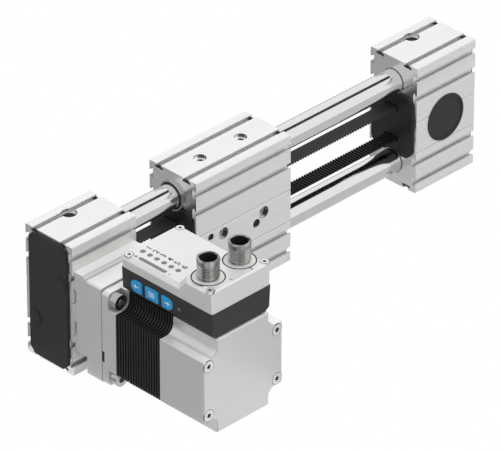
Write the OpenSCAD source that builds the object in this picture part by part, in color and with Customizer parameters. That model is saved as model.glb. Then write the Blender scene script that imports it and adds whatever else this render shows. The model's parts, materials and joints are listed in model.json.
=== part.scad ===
// Belt driven linear axis with a built-on motor and controller.
// X runs along the travel, Z is up and -Y is the motor side. The origin is
// the centre of the drive head's bottom face, right below the pulley axis.

/* [Profile] */
// Width of the extruded profile that heads and carriage share
body_w = 35; // [34:0.5:38]
// Height of the extruded profile
body_h = 78.5; // [78:0.5:84]
// Radius of the profile's long edges
edge_r = 0.6; // [0.2:0.1:1.2]
// Opening of a T-slot
slot_open = 3.4; // [2.6:0.1:4]
// Width of a T-slot behind its lips
slot_wide = 6; // [5:0.1:6.4]
// Thickness of a T-slot's lips
slot_lip = 1; // [0.8:0.1:1.3]
// Full depth of a T-slot
slot_depth = 2.7; // [2.4:0.1:3]
// Distance from the profile's top or bottom to the outer side slots
slot_outer = 7.15; // [6.8:0.05:8]
// Distance from the profile's top or bottom to the inner side slots
slot_inner = 18.95; // [17:0.05:19]
// Distance from the middle plane to the slots in the top and bottom
slot_top_y = 10.3; // [9.8:0.1:10.6]
// Height of the upper marking groove above the pulley axis
groove_up = 5.3; // [3:0.1:9]
// Depth of the lower marking groove below the pulley axis
groove_down = 14.2; // [12:0.1:15]
// Depth of a marking groove
groove_d = 0.5; // [0.2:0.1:0.6]
// Width of the channel in the profile
channel_w = 20; // [18:0.5:21]
// Height of the channel in the profile
channel_h = 30; // [28:0.5:31]
// Corner radius of the channel
channel_r = 2; // [1:0.5:3]

/* [Heads and guide rods] */
// Length of each end head
head_len = 45.6; // [40:0.2:60]
// Distance between the two pulley axes, in belt pitches
centre_pitches = 128; // [110:1:200]
// Diameter of a guide rod
rod_d = 14; // [12:0.5:14]
// Height of a guide rod's axis above or below the pulley axis
rod_z = 25.1; // [25:0.1:25.6]
// Distance from a rod's end to the head's outer face
rod_inset = 3; // [2:0.5:5]
// Radius of the recess round a rod in the head's inner face
recess_r = 7.7; // [7.4:0.1:8.2]
// Depth of the recess round a rod
recess_d = 1.1; // [0.6:0.1:1.6]
// Clearance between a rod and its seat in a head, on the radius
rod_fit = 0.02; // [0.01:0.01:0.05]
// Distance of the head's mounting hole from the middle plane
head_hole_y = 8.7; // [8:0.1:10]
// Diameter of the counterbore on the head's mounting hole
head_sink_d = 8.6; // [7:0.1:9]
// Depth of the counterbore on the head's mounting hole
head_sink = 3.2; // [1:0.1:4]
// Depth of the head's mounting hole below the top face
head_hole_l = 10; // [8:0.5:10.5]

/* [Covers and guards] */
// Width of an end cover
cover_w = 29.2; // [27:0.1:29.4]
// Height of an end cover at its middle
cover_h = 75; // [72:0.2:76]
// Rise of the arched edge of an end cover
arch_rise = 2.8; // [1.5:0.1:4]
// Chamfer across a cover's four corners
cover_chamfer = 1; // [0.5:0.1:2]
// Thickness of an end cover
cover_t = 1.2; // [1:0.1:2]
// Bevel round an end cover
cover_bevel = 0.4; // [0.2:0.1:0.6]
// Diameter of the two raised pads on a cover
pad_d = 7.8; // [6:0.2:9]
// Height of a pad above its cover
pad_h = 0.6; // [0.3:0.1:1]
// Distance of the pads from a cover's middle, across the axis
pad_y = 9.9; // [8:0.1:10.4]
// Distance of the pads from a cover's middle, up and down
pad_z = 13.9; // [12:0.1:16]
// Width of a belt guard
guard_w = 30.2; // [28:0.2:31]
// Height of a belt guard
guard_h = 38.4; // [37:0.2:39]
// Corner radius of a belt guard
guard_r = 6; // [1:0.5:7]
// Thickness of a belt guard
guard_t = 1.4; // [1:0.1:1.6]
// Depth of the plug that holds a guard in the channel
plug_d = 2; // [1:0.5:3]
// Gap round the belt where it passes a guard
belt_gap = 0.8; // [0.5:0.1:1]
// Diameter of the cap over an axle's end
cap_d = 27.8; // [26:0.1:29]
// Depth of a cap's seat in the head
cap_seat = 1.5; // [1:0.1:1.8]
// Height of a cap above the head's side
cap_proud = 0.4; // [0.2:0.1:0.8]

/* [Belt and pulleys] */
// Pitch of the toothed belt
belt_pitch = 2; // [2]
// Width of the toothed belt
belt_w = 8.5; // [6:0.5:9]
// Teeth on each pulley
pulley_teeth = 31; // [29:1:32]
// Distance from the belt's pitch line to the land between its teeth
pitch_line = 0.254; // [0.25:0.001:0.26]
// Height of a belt tooth
tooth_h = 0.75; // [0.7:0.01:0.76]
// Thickness of the belt without its teeth
belt_back = 0.63; // [0.6:0.01:0.8]
// Width of a belt tooth at its root
tooth_root = 1.3; // [1.2:0.02:1.36]
// Width of a belt tooth at its tip
tooth_tip = 0.9; // [0.8:0.02:0.96]
// Clearance between the belt and what its teeth fit into
belt_fit = 0.05; // [0.03:0.01:0.06]
// Thickness of a pulley's flange
flange_t = 0.8; // [0.6:0.1:1]
// Height of a pulley's flange above its teeth
flange_h = 1.6; // [1.4:0.1:2]
// Diameter of the pulley shafts
shaft_d = 8; // [6:0.5:9]
// Diameter of a pulley's hub
hub_d = 11.4; // [11:0.1:12]
// Diameter of the shaft bearings
bearing_d = 19; // [17:0.5:21]
// Width of the shaft bearings
bearing_w = 6; // [5:0.5:6]
// Clearance between a shaft and its bearing, on the radius
shaft_fit = 0.03; // [0.02:0.01:0.05]
// Free gap at a shaft's end and beside a hub
end_gap = 0.3; // [0.3:0.05:0.5]

/* [Carriage] */
// Length of the carriage
carriage_len = 70.2; // [66:0.2:80]
// Distance from the drive pulley's axis to the carriage's middle
carriage_x = 101.5; // [70:0.5:150]
// Outer diameter of the rod bushes
bush_d = 17.4; // [17:0.1:17.6]
// Length of a rod bush
bush_len = 24; // [18:1:30]
// Height of a bush above the carriage's end face
bush_proud = 1.4; // [1:0.1:1.6]
// Clearance between a bush and its rod, on the radius
bush_fit = 0.05; // [0.02:0.01:0.08]
// Wall of a bush round its seal
bush_rim = 0.7; // [0.5:0.1:0.8]
// Width of a rod seal
seal_w = 2; // [1:0.1:2.5]
// Spacing of the carriage's mounting holes
hole_pitch = 30; // [24:1:36]
// Diameter of the counterbores on the mounting holes
sink_d = 7; // [6:0.1:8]
// Depth of the counterbores in the carriage's top
sink_h = 2.2; // [1:0.1:2.6]
// Depth of the counterbores in the carriage's sides
side_sink_h = 3.6; // [2:0.1:4.5]
// Bore of the threaded mounting holes
thread_d = 4.2; // [3.3:0.1:5]
// Depth of the mounting holes in the carriage's top
top_hole_l = 5; // [4:0.1:5.2]
// Diameter of the access hole to the belt clamp
access_d = 5; // [4:0.1:5]
// Distance of the access hole from the carriage's middle
access_x = 9.5; // [9:0.5:10]
// Depth of the access hole below the pulley axis
access_z = 4.5; // [4:0.1:5]
// Diameter of the lubrication hole
lube_d = 4; // [3:0.1:4.5]
// Distance of the lubrication hole from the carriage's middle
lube_x = 24.3; // [23:0.1:26]
// Height of the lubrication hole above the pulley axis
lube_z = 1.8; // [0:0.1:2]

/* [Belt clamp] */
// Teeth in the clamp's lower jaw
clamp_teeth = 12; // [8:1:14]
// Height of the lower jaw below the belt's teeth
jaw_h = 4.4; // [3.5:0.1:5]
// Gap between the clamp and the channel's sides
jaw_gap = 0.5; // [0.2:0.1:0.8]
// Diameter of a clamp screw
clamp_screw_d = 3; // [2.5:0.5:3]
// Distance of the clamp screws from the clamp's middle plane
clamp_screw_y = 7; // [6.5:0.1:7]

/* [Motor mount] */
// Distance from the pulley axis to the motor axis, along the travel
motor_x = 6.6; // [4:0.1:8]
// Depth of the motor axis below the pulley axis
motor_down = 6.3; // [5:0.1:7]
// Length of the neck between the drive head and the mount's plate
neck_len = 8.8; // [8:0.1:12]
// Distance from the drive head's outer face to the neck
neck_inset = 1.2; // [0.6:0.1:2]
// Height of the neck above the pulley axis
neck_up = 24.5; // [24.5:0.1:26]
// Depth of the neck below the pulley axis
neck_down = 23.7; // [22:0.1:25]
// Radius of the neck's upper edge
neck_r = 4; // [2:0.5:6]
// Thickness of the mount's plate
plate_t = 11.1; // [10:0.1:14]
// Height of the mount's plate above the motor's top
plate_rise = 1.1; // [0.5:0.1:1.5]
// Radius of the plate's corners
plate_r = 1.5; // [0.5:0.5:3]
// Height of each pocket in the neck's side
pry_h = 8; // [6:0.5:9]
// Distance from the pulley axis to the pockets' middles
pry_z = 9.6; // [9:0.1:11]
// Width and depth of each pocket
pry_d = 1.3; // [1:0.1:2]

/* [Motor] */
// Side of the square motor
motor_w = 56.4; // [56:0.1:58]
// Thickness of the motor flange's plate
flange_plate = 5.1; // [4.5:0.1:6]
// Thickness of the motor flange behind its plate
flange_back = 5.7; // [5:0.1:7]
// Corner radius of the flange's plate
flange_r = 2.5; // [1.5:0.5:3.5]
// Width of each corner scoop
scoop_w = 9.7; // [9.2:0.1:10.2]
// Radius inside each corner scoop
scoop_r = 5.5; // [5:0.1:6]
// Diameter of the pilot that centres the motor
pilot_d = 38.1; // [36:0.1:40]
// Height of the motor's pilot
pilot_h = 1.6; // [1:0.1:2]
// Distance of each fixing screw from the motor's sides
bolt_edge = 4.63; // [4.5:0.01:4.7]
// Diameter of a fixing screw
bolt_d = 5; // [4:0.5:5]
// Diameter of a fixing screw's head
bolt_head_d = 8.5; // [8:0.1:9]
// Height of a fixing screw's head
bolt_head_h = 5; // [4:0.1:5]
// Length of a fixing screw's thread in the mount's plate
bolt_grip = 7; // [5:0.5:8]
// Length of the finned section
fins_len = 32.4; // [24:0.1:40]
// Number of fins
fin_count = 17; // [10:1:20]
// Thickness of one fin
fin_t = 1; // [0.8:0.1:1.1]
// Depth of the gaps between the fins
fin_d = 1.1; // [0.6:0.1:1.6]
// Length of the rear housing
rear_len = 32; // [30:0.1:40]
// Bevel round the rear housing's end
rear_bevel = 0.5; // [0.3:0.1:0.8]
// Distance of the rear screws from the motor's left and right sides
rear_edge_x = 3.7; // [3.7:0.1:4.2]
// Distance of the rear screws from the motor's top and bottom
rear_edge_z = 13.3; // [13.2:0.1:15]
// Diameter of a rear screw's countersunk head
rear_head_d = 7.2; // [6:0.1:7.3]
// Length of a rear screw
rear_screw_l = 9; // [6:0.5:12]
// Height of the slot in the flange's side
flange_slot_h = 6.6; // [5:0.1:8]
// Depth of that slot's middle below the motor axis
flange_slot_z = 11.7; // [10:0.1:13]
// Width of that slot
flange_slot_d = 2; // [1:0.1:2.4]
// Depth of the slot in the flange's side
flange_slot_in = 4; // [2:0.5:5]
// Width of the seam around the flange where it meets its mount
seam_w = 0.5; // [0.3:0.1:0.8]
// Depth of that seam
seam_d = 0.7; // [0.4:0.1:1]

/* [Controller] */
// Width of the controller across its seam
box_w = 41.6; // [41:0.1:44]
// Distance from the mount's motor face to the controller
box_start = 8.1; // [7:0.1:9]
// Length of the controller
box_len = 65.8; // [65:0.1:68]
// Height of the controller's base
base_h = 15.5; // [15:0.1:18]
// Draft on each of the base's sides
base_draft = 0.7; // [0.4:0.1:1]
// Width of the chamfer under each of the base's sides
chamfer_w = 2.9; // [2:0.1:3.4]
// Height of that chamfer
chamfer_h = 1.9; // [1.5:0.1:2.2]
// Height of the shadow gap under the base
foot_h = 0.6; // [0.4:0.1:0.8]
// Depth of that gap
foot_in = 1.2; // [0.8:0.1:2]
// Height of the controller's lid above the seam
lid_h = 7.3; // [7:0.1:9]
// Further height of the lid where it carries the connectors
lid_step = 6; // [5:0.1:7]
// Length of the lid's high part
lid_high = 20.3; // [20:0.1:21]
// Length of the ramp up to the high part
lid_ramp = 5; // [4:0.5:7]
// Width of the bevel along the sides of the lid's low part
bevel_x = 1.8; // [1:0.1:2]
// Width of the bevel along the sides of the lid's ramp and high part
high_bevel_x = 2.1; // [2.1:0.1:2.6]
// Height of the bevel along the lid's sides
bevel_z = 2.6; // [2:0.1:3]
// Bevel on the lid's two end edges
bevel_end = 0.8; // [0.4:0.1:1]
// Corner radius of the lid seen from above
lid_r = 1.2; // [0.6:0.1:1.6]
// Diameter of a lid screw's head
lid_screw_d = 4.4; // [4:0.1:4.8]
// Distance of the low part's screws from the lid's sides
low_screw_edge = 2.6; // [2.4:0.1:2.8]
// Distance of the high part's screws from the lid's sides
high_screw_edge = 1.4; // [1.2:0.1:1.8]
// Distance of the lid screws from the lid's ends
lid_screw_y = 2.8; // [2.6:0.1:3.2]
// Depth of the lid screws' pockets
lid_pocket = 1.6; // [1.2:0.1:2]
// Spacing of the two connectors
plug_pitch = 22.4; // [20:0.1:23]
// Distance of the connectors from the controller's free end
plug_y = 12.5; // [12:0.1:13]
// Diameter of the connectors' thread
plug_thread = 12; // [12]
// Height of a connector above the lid
plug_h = 11.8; // [11:0.1:14]
// Diameter of a connector's foot
plug_foot = 16.8; // [16:0.1:17]
// Thickness of a connector's foot
plug_foot_t = 0.6; // [0.4:0.1:0.8]
// Diameter of a connector's socket
socket_d = 9.4; // [9:0.1:9.6]
// Depth of a connector's socket
socket_l = 9.6; // [9:0.1:9.8]
// Length of the contact pins
pin_l = 4.4; // [3:0.1:4.5]
// Diameter of a contact pin
pin_d = 1; // [0.8:0.1:1.2]
// Pins in the power connector
power_pins = 4; // [3:1:5]
// Pins in the logic connector
logic_pins = 7; // [5:1:7]
// Clearance between small inserts and their recesses
insert_gap = 0.1; // [0.05:0.05:0.2]
// Number of indicator lights
light_count = 6; // [3:1:6]
// Spacing of the indicator lights
light_pitch = 5.17; // [4:0.01:5.3]
// Diameter of an indicator light
light_d = 2.9; // [2:0.1:3.4]
// Distance of the lights from the lid's side
light_edge = 9.5; // [9:0.1:11]
// Distance of the first light from the lid's near end
light_y = 5.8; // [5:0.1:8]
// Distance of the level bar from the lid's side
bar_edge = 3.9; // [3.6:0.1:4.5]
// Length of the level bar
bar_l = 19.6; // [15:0.1:22]
// Width of the level bar
bar_w = 2.2; // [1.6:0.1:2.6]
// Height of the lights above the lid
light_proud = 0.15; // [0.1:0.05:0.3]
// Depth of the lights' recesses
light_seat = 0.5; // [0.3:0.1:0.8]

/* [Keys] */
// Height of a key along the base's slope
key_h = 7.2; // [6.5:0.1:8]
// Length of an outer key
key_len = 7.8; // [7:0.1:8.2]
// Length of the middle key
key_mid = 9.4; // [8:0.1:9.8]
// Spacing of the keys
key_pitch = 11.2; // [11:0.1:11.5]
// Distance of the middle key from the base's near end
key_y = 21.9; // [18:0.1:24]
// Distance of the keys' middle from the seam, down the slope
key_down = 7.7; // [6:0.1:8.5]
// Height of a key above the base
key_proud = 0.6; // [0.4:0.1:0.9]
// Travel of a key
key_travel = 0.5; // [0.3:0.1:0.7]
// Depth of a key's pocket
key_pocket = 2.4; // [2:0.1:3]
// Clearance round and behind a key
key_gap = 0.25; // [0.2:0.05:0.3]
// Corner radius of a key's inner corners
key_r = 0.6; // [0.3:0.1:1]
// Corner radius of a key's outer corners
key_round = 3.4; // [2:0.1:4]
// Diameter of the status light
status_d = 2.2; // [1.5:0.1:3]
// Distance of the status light from the middle key
status_y = 19.5; // [18:0.1:20]

/* [Hidden] */
$fn = 64;
// Length by which a cut runs past the faces that it opens
over = 1;

axis_z = body_h / 2;
side_y = body_w / 2;
end_x = head_len / 2;
centre_d = round(centre_pitches) * belt_pitch;

pitch_r = pulley_teeth * belt_pitch / (2 * PI);
land_r = pitch_r - pitch_line;
tip_r = land_r - tooth_h;
back_r = land_r + belt_back;
arc_l = PI * pitch_r;
belt_count = 2 * round(centre_pitches) + pulley_teeth;

bearing_y = channel_w / 2;
bearing_end = bearing_y + bearing_w;
cap_y = side_y - cap_seat;
bush_r = bush_d / 2;
half_l = carriage_len / 2;

block_y = -side_y - neck_len;
motor_y = block_y - plate_t;
back_y = motor_y - flange_plate;
fins_y = back_y - flange_back;
rear_y = fins_y - fins_len;
tail_y = rear_y - rear_len;
motor_half = motor_w / 2;
clamp_x = clamp_teeth * belt_pitch / 2;
clamp_y = channel_w / 2 - jaw_gap;
jaw_top = back_r + belt_fit;
jaw_low = tip_r - jaw_h;
bolt_half = motor_half - bolt_edge;
bolt_end = motor_y + bolt_grip;
neck_x = end_x - neck_inset;
shaft_end = block_y - end_gap;

box_y = motor_y - box_start;
box_end = box_y - box_len;
seam_z = motor_half + base_h;
lid_z = seam_z + lid_h;
high_z = lid_z + lid_step;
high_y = box_end + lid_high;
slope_a = atan2(base_draft, base_h - foot_h - chamfer_h);
pocket_z = lid_z - lid_pocket;
high_pocket_z = high_z - lid_pocket;
plug_axis_y = box_end + plug_y;
key_axis_y = box_y - key_y;

// ---- placing and drawing helpers ----

// Pulley axis height above the base plane
module at_axis() {
    translate([0, 0, axis_z]) children();
}

// Motor axis
module at_motor() {
    translate([motor_x, 0, axis_z - motor_down]) children();
}

// Idle end, turned about so that its inner face looks at the drive head
module at_idle() {
    translate([centre_d, 0, axis_z]) mirror([1, 0, 0]) children();
}

module at_carriage() {
    translate([carriage_x, 0, axis_z]) children();
}

// Drawing in Y and Z, drawn out along X
module along_x(x0, x1) {
    translate([x0, 0, 0]) rotate([90, 0, 90]) linear_extrude(x1 - x0) children();
}

// Drawing in X and Z, drawn out along Y
module along_y(y0, y1) {
    translate([0, y1, 0]) rotate([90, 0, 0]) linear_extrude(y1 - y0) children();
}

module pin_x(r, x0, x1) {
    translate([x0, 0, 0]) rotate([0, 90, 0]) cylinder(r = r, h = x1 - x0);
}

module pin_y(r, y0, y1) {
    translate([0, y0, 0]) rotate([-90, 0, 0]) cylinder(r = r, h = y1 - y0);
}

module rounded(w, h, r) {
    square([w - 2 * r, h], center = true);
    square([w, h - 2 * r], center = true);
    for (a = [-1, 1], b = [-1, 1])
        translate([a * (w / 2 - r), b * (h / 2 - r)]) circle(r);
}

// Both guide rods' places
module at_rods() {
    for (s = [-1, 1])
        translate([0, 0, s * rod_z]) children();
}

// ---- profile ----

// T-slot in a face at y = 0, with the metal below it
module slot_cut() {
    r = (slot_depth - slot_lip) / 2;
    translate([-slot_open / 2, r - slot_depth]) square([slot_open, slot_depth]);
    translate([r - slot_wide / 2, -slot_depth]) square([slot_wide - 2 * r, 2 * r]);
    for (s = [-1, 1])
        translate([s * (slot_wide / 2 - r), r - slot_depth]) circle(r);
}

module profile() {
    difference() {
        rounded(body_w, body_h, edge_r);
        for (s = [-1, 1]) {
            for (t = [-1, 1], d = [slot_outer, slot_inner])
                translate([s * side_y, t * (axis_z - d)]) rotate(-90 * s) slot_cut();
            for (t = [-1, 1])
                translate([t * slot_top_y, s * axis_z]) rotate(90 - 90 * s) slot_cut();
            for (z = [groove_up, -groove_down])
                translate([s * side_y, z]) circle(groove_d, $fn = 4);
        }
    }
}

module channel(gap) {
    rounded(channel_w - 2 * gap, channel_h - 2 * gap, channel_r);
}

// ---- heads and what closes them ----

// End head with its inner face at +X
module head() {
    difference() {
        along_x(-end_x, end_x) profile();
        along_x(-end_x - over, end_x + over) channel(0);
        at_rods() {
            pin_x(rod_d / 2 + rod_fit, -end_x - over, end_x + over);
            pin_x(recess_r, end_x - recess_d, end_x + over);
        }
        pin_y(bearing_d / 2, -side_y - over, side_y + over);
        for (a = [0, 180])
            rotate(a) pin_y(cap_d / 2, cap_y, side_y + over);
        translate([0, head_hole_y, axis_z]) {
            translate([0, 0, -head_hole_l]) cylinder(d = thread_d, h = head_hole_l);
            translate([0, 0, -head_sink]) cylinder(d = head_sink_d, h = head_sink + over);
        }
    }
}

module drive_head() {
    color("gainsboro") at_axis() head();
}

module idle_head() {
    color("gainsboro") at_idle() head();
}

module rod(s) {
    translate([0, 0, axis_z + s * rod_z])
        pin_x(rod_d / 2, rod_inset - end_x, centre_d + end_x - rod_inset);
}

module rod_upper() {
    color("white") rod(1);
}

module rod_lower() {
    color("white") rod(-1);
}

// Outline of an end cover, pulled in all round by a bevel
module cover_outline(inset) {
    w = cover_w / 2;
    arch_r = (w * w + arch_rise * arch_rise) / (2 * arch_rise);
    corner = w + cover_h / 2 - arch_rise - cover_chamfer - inset;
    intersection() {
        rounded(cover_w - 2 * inset, cover_h, edge_r);
        rotate(45) square(corner * sqrt(2), center = true);
        for (s = [-1, 1])
            translate([0, s * (cover_h / 2 - arch_r)]) circle(arch_r - inset, $fn = 128);
    }
}

// End cover with a plug in the channel and a spigot in each rod bore
module end_cover() {
    along_x(-end_x - cover_t, -end_x - cover_t + cover_bevel) cover_outline(cover_bevel);
    along_x(-end_x - cover_t + cover_bevel, -end_x) cover_outline(0);
    along_x(-end_x, -end_x + plug_d) channel(insert_gap);
    at_rods() pin_x(rod_d / 2 - insert_gap, -end_x, rod_inset - end_x);
    for (s = [-1, 1])
        translate([-end_x - cover_t, s * pad_y, -s * pad_z]) pin_x(pad_d / 2, -pad_h, cover_t / 2);
}

module drive_cover() {
    color("dimgray") at_axis() end_cover();
}

module tail_cover() {
    color("dimgray") at_idle() end_cover();
}

// Openings for both strands of the belt
module strand_windows() {
    for (s = [-1, 1])
        translate([0, s * (tip_r + back_r) / 2])
            square([belt_w + 2 * belt_gap, back_r - tip_r + 2 * belt_gap], center = true);
}

// Belt guard on a face at x, with its plug reaching back to -X
module guard(x, notch_r) {
    difference() {
        union() {
            along_x(x, x + guard_t) rounded(guard_w, guard_h, guard_r);
            along_x(x - plug_d, x) channel(insert_gap);
        }
        at_rods() pin_x(notch_r, x - plug_d - over, x + guard_t + over);
        along_x(x - plug_d - over, x + guard_t + over) strand_windows();
    }
}

module drive_guard() {
    color("#2b2b2b") at_axis() guard(end_x, recess_r);
}

module idle_guard() {
    color("#2b2b2b") at_idle() guard(end_x, recess_r);
}

// Cap over an axle's end on the head's +Y side
module axle_cap() {
    difference() {
        pin_y(cap_d / 2, cap_y, side_y + cap_proud);
        pin_y(cap_d / 2 - cap_proud - over, side_y, side_y + cap_proud + over);
    }
}

module axle_caps() {
    color("#2b2b2b") {
        at_axis() axle_cap();
        at_idle() for (a = [0, 180]) rotate(a) axle_cap();
    }
}

// ---- shafts, bearings and belt ----

// Pair of bearings in a head's two side walls
module bearing_pair() {
    seat = (bearing_d - shaft_d) / 8;
    for (a = [0, 180])
        rotate(a) translate([0, bearing_y, 0]) rotate([-90, 0, 0]) difference() {
            cylinder(d = bearing_d, h = bearing_w);
            translate([0, 0, -over]) cylinder(d = shaft_d + 2 * shaft_fit, h = bearing_w + 2 * over);
            for (z = [-over, bearing_w - seat / 2]) translate([0, 0, z]) difference() {
                cylinder(d = bearing_d - 2 * seat, h = over + seat / 2);
                cylinder(d = shaft_d + 3 * seat, h = over + seat / 2);
            }
        }
}

module drive_bearings() {
    color("silver") at_axis() bearing_pair();
}

module idle_bearings() {
    color("silver") at_idle() bearing_pair();
}

// Corners of a belt tooth as radius and distance along the belt
function tooth(grow) = [
    [land_r, -tooth_root / 2 - grow],
    [tip_r - grow, -tooth_tip / 2 - grow],
    [tip_r - grow, tooth_tip / 2 + grow],
    [land_r, tooth_root / 2 + grow]
];

// Point at radius r and offset t from direction a
function polar(r, t, a) = [r * cos(a) + t * sin(a), r * sin(a) - t * cos(a)];

// Direction and centre of the belt's inner side at s along the pitch line
function belt_turn(s) =
    s <= centre_d ? 90 :
    s <= centre_d + arc_l ? 90 - (s - centre_d) * 180 / arc_l :
    s <= 2 * centre_d + arc_l ? -90 :
    -90 - (s - 2 * centre_d - arc_l) * 180 / arc_l;

function belt_centre(s) =
    s <= centre_d ? s :
    s <= centre_d + arc_l ? centre_d :
    s <= 2 * centre_d + arc_l ? 2 * centre_d + arc_l - s :
    0;

module belt_inside() {
    polygon([
        for (k = [0:belt_count - 1], p = tooth(0))
            polar(p[0], p[1], belt_turn(k * belt_pitch)) + [belt_centre(k * belt_pitch), 0]
    ]);
}

module belt() {
    color("#333333") at_axis() along_y(-belt_w / 2, belt_w / 2) difference() {
        union() {
            translate([0, -back_r]) square([centre_d, 2 * back_r]);
            for (x = [0, centre_d]) translate([x, 0]) circle(back_r, $fn = 96);
        }
        belt_inside();
    }
}

// Toothed wheel whose gaps take the belt's teeth
module pulley() {
    rim = land_r - belt_fit;
    half = belt_w / 2 + end_gap;
    difference() {
        union() {
            along_y(-half, half) polygon([
                for (k = [0:pulley_teeth - 1], p = tooth(belt_fit))
                    polar(min(p[0], rim), p[1], 90 - k * 360 / pulley_teeth)
            ]);
            for (a = [0, 180])
                rotate(a) pin_y(rim + flange_h, half, half + flange_t);
            pin_y(hub_d / 2, end_gap - bearing_y, bearing_y - end_gap);
        }
        pin_y(shaft_d / 2, -side_y, side_y);
    }
}

module drive_pulley() {
    color("silver") at_axis() pulley();
}

module idle_pulley() {
    color("silver") at_idle() pulley();
}

module drive_shaft() {
    color("lightgray") at_axis() pin_y(shaft_d / 2, shaft_end, cap_y - end_gap);
}

module idle_shaft() {
    color("lightgray") at_idle() pin_y(shaft_d / 2, end_gap - cap_y, cap_y - end_gap);
}

// ---- carriage ----

// Hole that starts in a face at z = 0, runs down by l and is widened down to sink
module mount_hole(l, sink) {
    translate([0, 0, -l]) cylinder(d = thread_d, h = l);
    translate([0, 0, -sink]) cylinder(d = sink_d, h = sink + over);
}

module carriage_block() {
    wall = side_y - bearing_y;
    color("gainsboro") at_carriage() difference() {
        along_x(-half_l, half_l) profile();
        along_x(-half_l - over, half_l + over) channel(0);
        at_rods() pin_x(bush_r, -half_l - over, half_l + over);
        for (s = [-1, 1]) {
            translate([s * hole_pitch / 2, 0, axis_z]) mount_hole(top_hole_l, sink_h);
            for (a = [-1, 1])
                translate([s * hole_pitch / 2, a * side_y, 0])
                    rotate([-90 * a, 0, 0]) mount_hole(wall + over, side_sink_h);
        }
        translate([access_x, 0, -access_z]) pin_y(access_d / 2, -side_y - over, -bearing_y + over);
        translate([-lube_x, 0, lube_z]) pin_y(lube_d / 2, -side_y - over, -bearing_y + over);
    }
}

// Every end of both rods' bushes, with the outer end at +X
module at_bushes() {
    at_rods()
        for (a = [0, 180])
            rotate([0, 0, a]) translate([half_l + bush_proud, 0, 0]) children();
}

module rod_bushes() {
    color("silver") at_carriage() at_bushes() difference() {
        pin_x(bush_r, -bush_len, 0);
        pin_x(rod_d / 2 + bush_fit, -bush_len - over, over);
        pin_x(bush_r - bush_rim, -seal_w, over);
    }
}

module rod_seals() {
    color("#222222") at_carriage() at_bushes() difference() {
        pin_x(bush_r - bush_rim, -seal_w, -insert_gap);
        pin_x(rod_d / 2 + bush_fit, -seal_w - over, over);
    }
}

module carriage_guards() {
    color("#2b2b2b") at_carriage() for (a = [0, 180]) rotate(a) guard(half_l, bush_r);
}

// Clamp drawing placed so that its teeth meet the belt's
module at_clamp() {
    half = (clamp_teeth - 1) / 2;
    shift = belt_pitch * (half + round(carriage_x / belt_pitch - half));
    translate([shift, 0, axis_z]) children();
}

module clamp_holes() {
    for (s = [-1, 1], a = [-1, 1])
        translate([s * (clamp_x - clamp_screw_d), a * clamp_screw_y, 0]) children();
}

module clamp_upper() {
    color("gray") at_clamp() difference() {
        translate([-clamp_x, -clamp_y, jaw_top])
            cube([2 * clamp_x, 2 * clamp_y, channel_h / 2 - jaw_top]);
        clamp_holes() translate([0, 0, jaw_low]) cylinder(d = clamp_screw_d, h = channel_h);
    }
}

module clamp_lower() {
    mid = belt_w / 2 + end_gap;
    color("gray") at_clamp() difference() {
        union() {
            along_y(-mid, mid) polygon(concat(
                [[clamp_x, jaw_low], [-clamp_x, jaw_low], [-clamp_x, land_r - belt_fit]],
                [
                    for (k = [0:clamp_teeth - 1], p = tooth(belt_fit))
                        [(k + 0.5) * belt_pitch - clamp_x + p[1], min(p[0], land_r - belt_fit)]
                ],
                [[clamp_x, land_r - belt_fit]]
            ));
            for (y = [-clamp_y, mid])
                translate([-clamp_x, y, jaw_low])
                    cube([2 * clamp_x, clamp_y - mid, jaw_top - jaw_low]);
        }
        clamp_holes() translate([0, 0, jaw_low - over]) cylinder(d = clamp_screw_d, h = channel_h);
    }
}

module clamp_screws() {
    head_h = clamp_screw_d * 0.65;
    color("#444444") at_clamp() clamp_holes() translate([0, 0, jaw_low]) {
        translate([0, 0, -head_h]) socket_head(clamp_screw_d * 1.8, head_h);
        cylinder(d = clamp_screw_d, h = channel_h / 2 - jaw_low);
    }
}

// Cylindrical screw head standing up from z = 0, with its hexagon at the bottom
module socket_head(d, h) {
    difference() {
        cylinder(d = d, h = h);
        translate([0, 0, -over]) cylinder(d = d / 2, h = over + h / 2, $fn = 6);
    }
}

// ---- motor and its mount ----

module mount_block() {
    color("gainsboro") difference() {
        union() {
            at_axis() {
                along_x(-neck_x, neck_x) {
                    translate([block_y + neck_r, -neck_down])
                        square([neck_len - neck_r, neck_up + neck_down]);
                    translate([block_y, -neck_down])
                        square([neck_len, neck_up + neck_down - neck_r]);
                    translate([block_y + neck_r, neck_up - neck_r]) circle(neck_r);
                }
                pin_y(cap_d / 2, -side_y - over, -cap_y - end_gap);
            }
            at_motor() {
                h = motor_w + plate_rise;
                along_y(motor_y, block_y)
                    translate([0, plate_rise / 2]) rounded(motor_w, h, plate_r);
            }
        }
        at_axis() {
            pin_y(shaft_d / 2 + end_gap, block_y - 2 * end_gap, side_y);
            for (s = [-1, 1])
                translate([-neck_x - over, -side_y - pry_d, s * pry_z - pry_h / 2])
                    cube([pry_d + over, pry_d, pry_h]);
        }
        at_motor() {
            pin_y(pilot_d / 2, motor_y - over, motor_y + pilot_h);
            at_bolts() pin_y(bolt_d / 2, motor_y - over, bolt_end);
        }
    }
}

module at_bolts() {
    for (s = [-1, 1], t = [-1, 1])
        translate([s * bolt_half, 0, t * bolt_half]) children();
}

// Square section with a scoop in each corner
module scooped(inset) {
    n = motor_half - scoop_w - inset;
    l = motor_w;
    difference() {
        square(motor_w - 2 * inset, center = true);
        for (a = [0:90:270]) rotate(a) {
            translate([n + scoop_r, n]) square(l);
            translate([n, n + scoop_r]) square(l);
            translate([n + scoop_r, n + scoop_r]) circle(scoop_r);
        }
    }
}

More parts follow.
